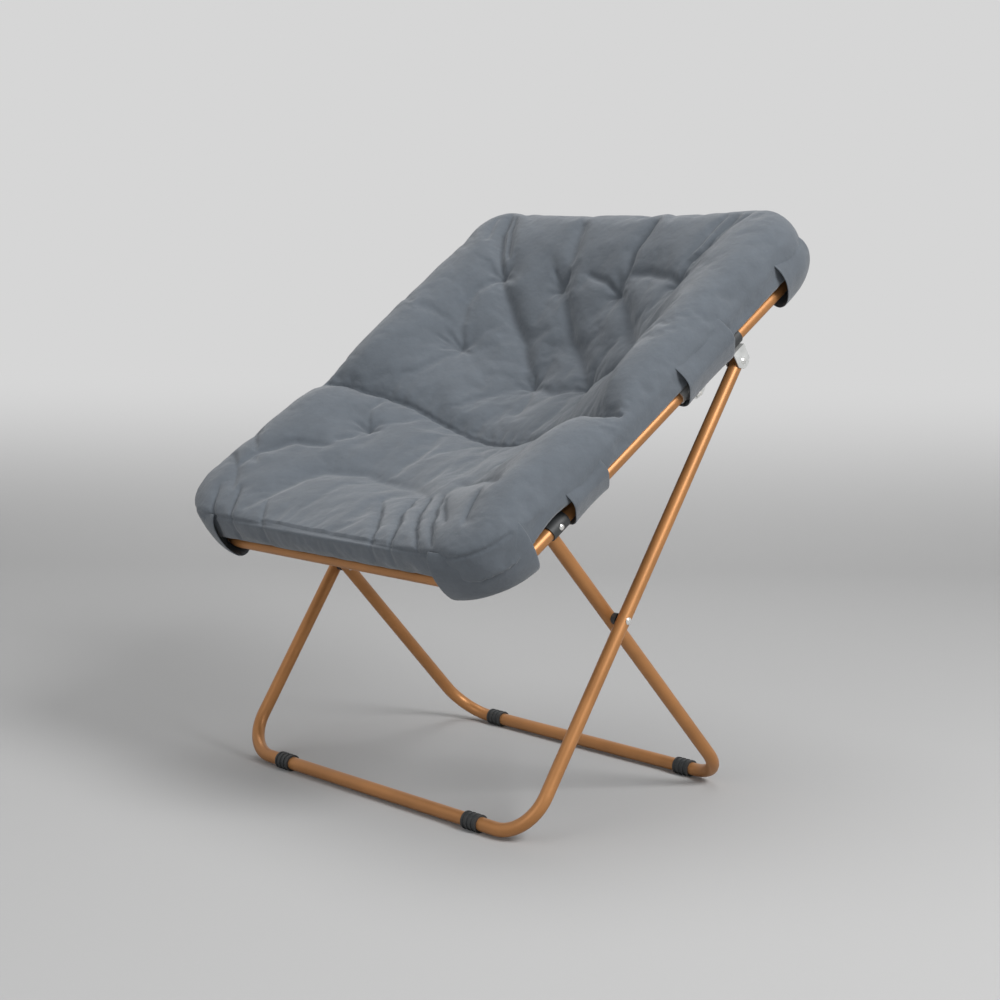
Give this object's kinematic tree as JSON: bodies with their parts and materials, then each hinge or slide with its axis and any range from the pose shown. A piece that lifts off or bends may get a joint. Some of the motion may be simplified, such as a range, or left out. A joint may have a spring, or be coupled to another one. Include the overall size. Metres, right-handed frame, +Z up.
{
  "type": "folding saucer chair",
  "caption": "Folding lounge chair with a square padded bowl seat hung in a tilted rounded-square tube ring on crossed U-shaped tube legs.",
  "frame": {"origin": "on the floor, under the middle of the chair as it stands open", "axes": "+Z up, -Y towards the front edge of the seat, X across the chair"},
  "size_m": [0.67, 0.6844, 0.8199],
  "materials": {
    "bronze_tube": "satin metallic bronze paint",
    "dark_plastic": "matt moulded plastic",
    "rivet_steel": "plain turned and domed",
    "zinc_steel": "dull zinc plate",
    "slate_fabric": "smooth brushed polyester"
  },
  "bodies": {
    "front_leg": {"front_leg_tube": "bronze_tube", "front_leg_plugs": "dark_plastic", "front_feet": "dark_plastic", "cross_rivets": "rivet_steel", "cross_washers": "dark_plastic"},
    "rear_leg": {"rear_leg_tube": "bronze_tube", "rear_leg_plugs": "dark_plastic", "rear_feet": "dark_plastic"},
    "ring_seat": {"ring_seat_tube": "bronze_tube", "seat_sleeve_left": "dark_plastic", "seat_sleeve_right": "dark_plastic", "seat_sleeve_rivets": "rivet_steel", "hinge_tongue_left": "zinc_steel", "hinge_tongue_right": "zinc_steel", "hinge_tongue_rivets": "rivet_steel", "seat_pad": "slate_fabric", "front_pocket_left": "slate_fabric", "front_pocket_right": "slate_fabric", "front_loop_left": "slate_fabric", "front_loop_right": "slate_fabric"},
    "ring_back": {"ring_back_tube": "bronze_tube", "back_sleeve_left": "dark_plastic", "back_sleeve_right": "dark_plastic", "bracket_left": "zinc_steel", "bracket_right": "zinc_steel", "bracket_rivets": "rivet_steel", "bracket_pins": "rivet_steel", "hinge_clevis_left": "zinc_steel", "hinge_clevis_right": "zinc_steel", "hinge_clevis_rivets": "rivet_steel", "hinge_pins": "rivet_steel", "back_pad": "slate_fabric", "back_pocket_left": "slate_fabric", "back_pocket_right": "slate_fabric", "back_loop_left": "slate_fabric", "back_loop_right": "slate_fabric"}
  },
  "joints": [
    {"name": "leg_fold", "type": "hinge", "parent": "front_leg", "child": "rear_leg", "pos_m": [0, -0.05904, 0.27752], "axis": [-1, 0, 0], "range_deg": [0, 61]},
    {"name": "back_fold", "type": "hinge", "parent": "front_leg", "child": "ring_back", "pos_m": [0, 0.16293, 0.61736], "axis": [-1, 0, 0], "range_deg": [0, 126.43]},
    {"name": "ring_fold", "type": "hinge", "parent": "ring_back", "child": "ring_seat", "pos_m": [0, 0.07712, 0.57577], "axis": [1, 0, 0], "range_deg": [0, 149.64], "deforming": ["seat_pad", "back_pad", "front_pocket_left", "front_pocket_right"]}
  ],
  "couplings": [
    {"joint": "back_fold", "follows": "leg_fold", "ratio": 2.0726},
    {"joint": "ring_fold", "follows": "leg_fold", "ratio": 2.4531}
  ]
}
